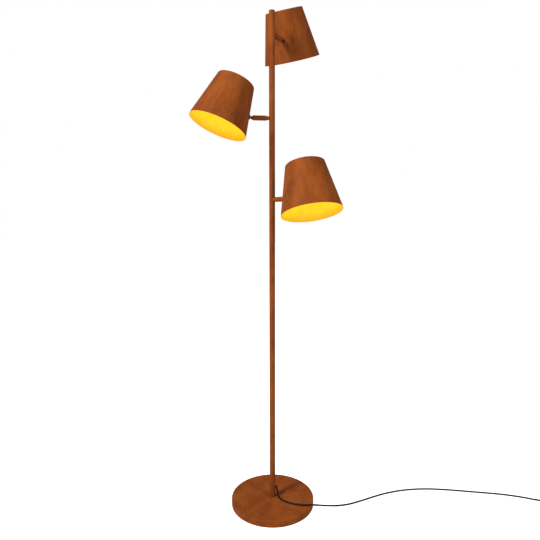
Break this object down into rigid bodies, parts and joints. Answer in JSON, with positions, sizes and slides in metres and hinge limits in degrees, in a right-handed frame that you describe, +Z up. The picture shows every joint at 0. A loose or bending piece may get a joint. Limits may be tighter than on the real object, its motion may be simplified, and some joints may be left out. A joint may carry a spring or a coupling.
{
  "type": "floor lamp",
  "caption": "Free-standing floor lamp with a round weighted base, a slim pole and three conical shades that swivel on short side arms.",
  "frame": {"origin": "The pole axis at floor level, in the middle of the pad under the base.", "axes": "+Z up the pole, +X to the right as the picture sees the lamp, +Y away from the camera."},
  "size_m": [1.3147, 0.4719, 1.6116],
  "materials": {
    "rust_paint": "cloudy rust-brown lacquer, satin",
    "dark_metal": "black-brown, satin",
    "plated": "zinc plated",
    "cast_weight": "rough casting",
    "felt": "pressed felt",
    "dark_plastic": "fine grain",
    "lead_rubber": "matt",
    "lead_skin": "smooth, slightly glossy",
    "pin_metal": "nickel plated",
    "bulb_glass": "warm white globe"
  },
  "bodies": {
    "stand": {"base_cover": "rust_paint", "base_weight": "cast_weight", "base_pad": "felt", "foot_rod": "plated", "foot_washer": "plated", "foot_nut": "plated", "lower_tube": "rust_paint", "middle_tube": "rust_paint", "upper_tube": "rust_paint", "lower_seam_socket": "plated", "lower_seam_nipple": "plated", "upper_seam_socket": "plated", "upper_seam_nipple": "plated", "pole_cap": "rust_paint", "pole_wiring": "lead_skin", "stub_clips": "plated", "strain_relief": "lead_rubber", "lamp_lead": "lead_skin", "plug_lead": "lead_skin", "lead_coil": "lead_skin", "plug_tail": "lead_skin", "switch_base": "dark_plastic", "switch_cover": "dark_plastic", "plug_body": "dark_plastic", "plug_pins": "pin_metal", "upper_stub": "dark_metal", "middle_stub": "dark_metal", "lower_stub": "dark_metal"},
    "switch_button": {"switch_button": "dark_plastic"},
    "upper_arm": {"upper_barrel": "rust_paint", "upper_swivel_nut": "dark_metal"},
    "upper_ball": {"upper_ball_stem": "plated"},
    "upper_head": {"upper_washer": "dark_plastic", "upper_shade": "rust_paint", "upper_bracket": "plated", "upper_stem_nut": "plated", "upper_lamp_holder": "dark_plastic", "upper_holder_nut": "plated", "upper_bulb": "bulb_glass"},
    "middle_arm": {"middle_barrel": "rust_paint", "middle_swivel_nut": "dark_metal"},
    "middle_ball": {"middle_ball_stem": "plated"},
    "middle_head": {"middle_washer": "dark_plastic", "middle_shade": "rust_paint", "middle_bracket": "plated", "middle_stem_nut": "plated", "middle_lamp_holder": "dark_plastic", "middle_holder_nut": "plated", "middle_bulb": "bulb_glass"},
    "lower_arm": {"lower_barrel": "rust_paint", "lower_swivel_nut": "dark_metal"},
    "lower_ball": {"lower_ball_stem": "plated"},
    "lower_head": {"lower_washer": "dark_plastic", "lower_shade": "rust_paint", "lower_bracket": "plated", "lower_stem_nut": "plated", "lower_lamp_holder": "dark_plastic", "lower_holder_nut": "plated", "lower_bulb": "bulb_glass"}
  },
  "joints": [
    {"name": "upper_arm_turn", "type": "hinge", "parent": "stand", "child": "upper_arm", "pos_m": [0.015, 0.02598, 1.484], "axis": [0.5, 0.866, 0], "range_deg": [-170, 170]},
    {"name": "upper_ball_tilt", "type": "hinge", "parent": "upper_arm", "child": "upper_ball", "pos_m": [0.03, 0.05196, 1.484], "axis": [0.5473, -0.316, 0.775], "range_deg": [-55.5, 24.5]},
    {"name": "upper_shade_twist", "type": "hinge", "parent": "upper_ball", "child": "upper_head", "pos_m": [0.03, 0.05196, 1.484], "axis": [0.303, 0.938, 0.1685], "range_deg": [-170, 170]},
    {"name": "middle_arm_turn", "type": "hinge", "parent": "stand", "child": "middle_arm", "pos_m": [-0.02971, -0.00418, 1.2405], "axis": [-0.9903, -0.1392, 0], "range_deg": [-170, 170]},
    {"name": "middle_ball_tilt", "type": "hinge", "parent": "middle_arm", "child": "middle_ball", "pos_m": [-0.05942, -0.00835, 1.2405], "axis": [-0.1386, 0.9863, 0.0894], "range_deg": [-51, 29]},
    {"name": "middle_shade_twist", "type": "hinge", "parent": "middle_ball", "child": "middle_head", "pos_m": [-0.05942, -0.00835, 1.2405], "axis": [-0.9695, -0.1536, 0.1908], "range_deg": [-170, 170]},
    {"name": "lower_arm_turn", "type": "hinge", "parent": "stand", "child": "lower_arm", "pos_m": [0.01928, -0.02298, 0.997], "axis": [0.6428, -0.766, 0], "range_deg": [-170, 170]},
    {"name": "lower_ball_tilt", "type": "hinge", "parent": "lower_arm", "child": "lower_ball", "pos_m": [0.03857, -0.04596, 0.997], "axis": [-0.231, -0.1938, 0.9535], "range_deg": [-53.7, 26.3]},
    {"name": "lower_shade_twist", "type": "hinge", "parent": "lower_ball", "child": "lower_head", "pos_m": [0.03857, -0.04596, 0.997], "axis": [0.7976, -0.5989, 0.0715], "range_deg": [-170, 170]},
    {"name": "switch_button_press", "type": "slide", "parent": "stand", "child": "switch_button", "axis": [0, 0, 1], "range_m": [-0.003, 0], "stiffness_N_per_m": 400, "springref_m": 0.0008}
  ]
}
